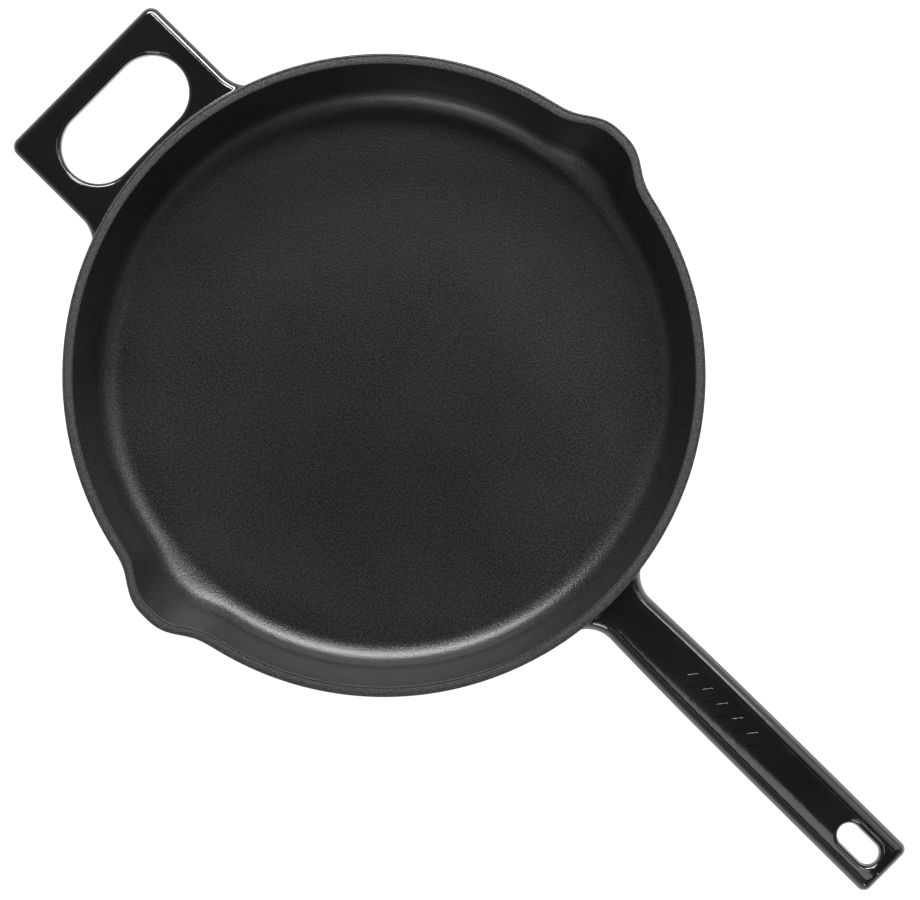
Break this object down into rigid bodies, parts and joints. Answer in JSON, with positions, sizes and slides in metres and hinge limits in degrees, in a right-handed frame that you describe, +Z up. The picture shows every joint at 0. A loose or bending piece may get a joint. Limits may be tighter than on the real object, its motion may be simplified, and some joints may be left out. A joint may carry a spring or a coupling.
{
  "type": "cast iron skillet",
  "caption": "Round enamelled cast iron skillet with two pouring lips, a straight hollowed long handle with a hanging slot, and a flat helper handle with a finger hole.",
  "frame": {"origin": "centre of the flat base, on the surface that the skillet stands on", "axes": "+Z up out of the pan, -Y along the long handle, +Y towards the helper handle, +X and -X towards the two pouring lips"},
  "size_m": [0.3054, 0.509, 0.053],
  "materials": {
    "iron": "as cast, under the enamel",
    "satin_enamel": "satin black, fine grained",
    "ground_coat": "matte dark grey, slightly rough",
    "gloss_enamel": "gloss black"
  },
  "bodies": {
    "root": {"iron_floor": "iron", "iron_wall": "iron", "iron_long_handle": "iron", "iron_helper_handle": "iron", "interior_enamel": "satin_enamel", "rim_ground_coat": "ground_coat", "exterior_enamel": "gloss_enamel", "base_enamel": "ground_coat", "long_handle_enamel": "gloss_enamel", "helper_handle_enamel": "gloss_enamel"}
  },
  "joints": []
}
